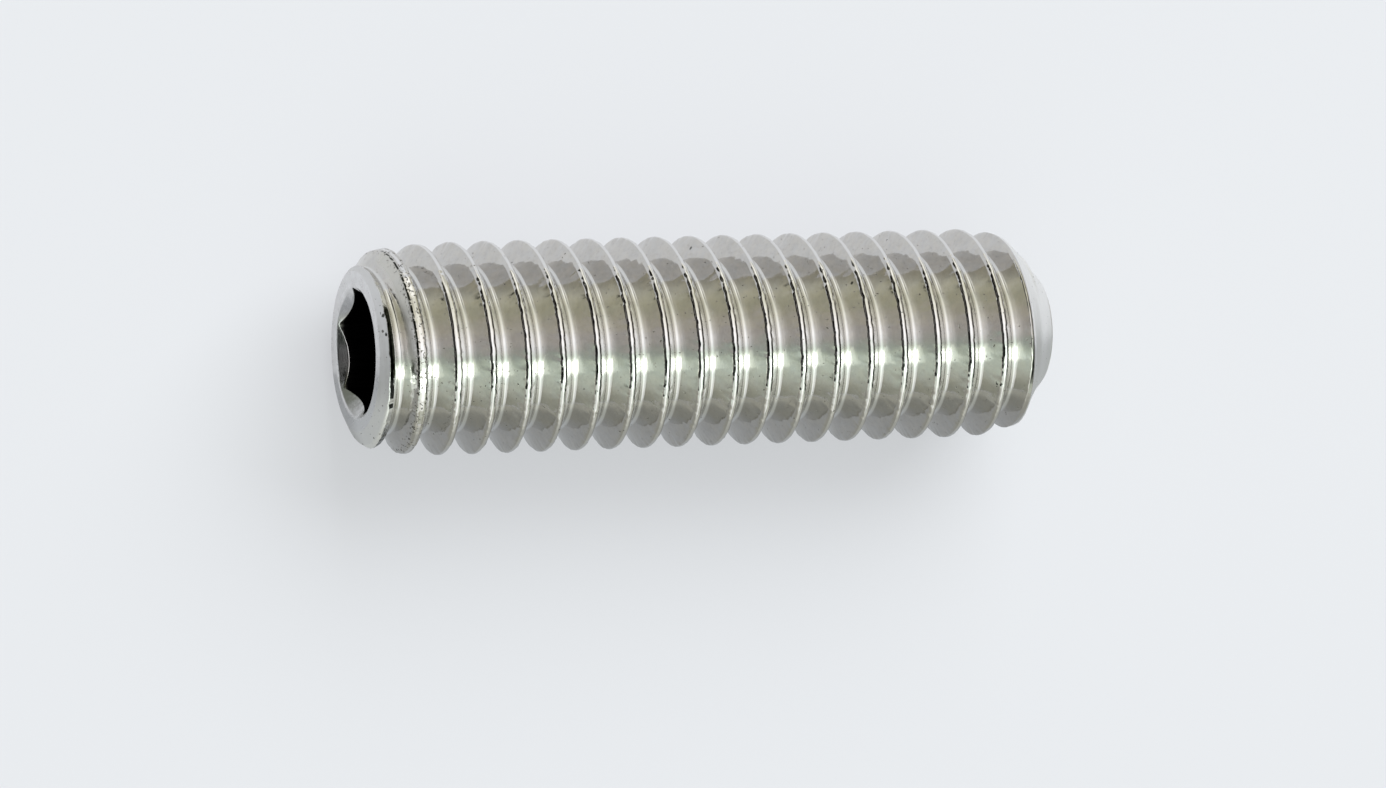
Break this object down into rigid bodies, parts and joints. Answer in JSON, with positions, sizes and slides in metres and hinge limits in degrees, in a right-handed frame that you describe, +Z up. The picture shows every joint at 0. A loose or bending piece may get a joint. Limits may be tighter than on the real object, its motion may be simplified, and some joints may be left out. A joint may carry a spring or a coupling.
{
  "type": "grub set screw",
  "caption": "Headless set screw with a hexagon socket at one end and a cup point at the other, threaded along its whole length.",
  "frame": {"origin": "on the floor under the middle of the screw, which lies on its thread crests", "axes": "X along the screw's axis, socket end at -X and cup point at +X; Z up"},
  "size_m": [0.02, 0.0058, 0.0059],
  "materials": {
    "stainless": "bright rolled stainless steel, satin on the end face and the point"
  },
  "bodies": {
    "root": {"set_screw": "stainless"}
  },
  "joints": []
}
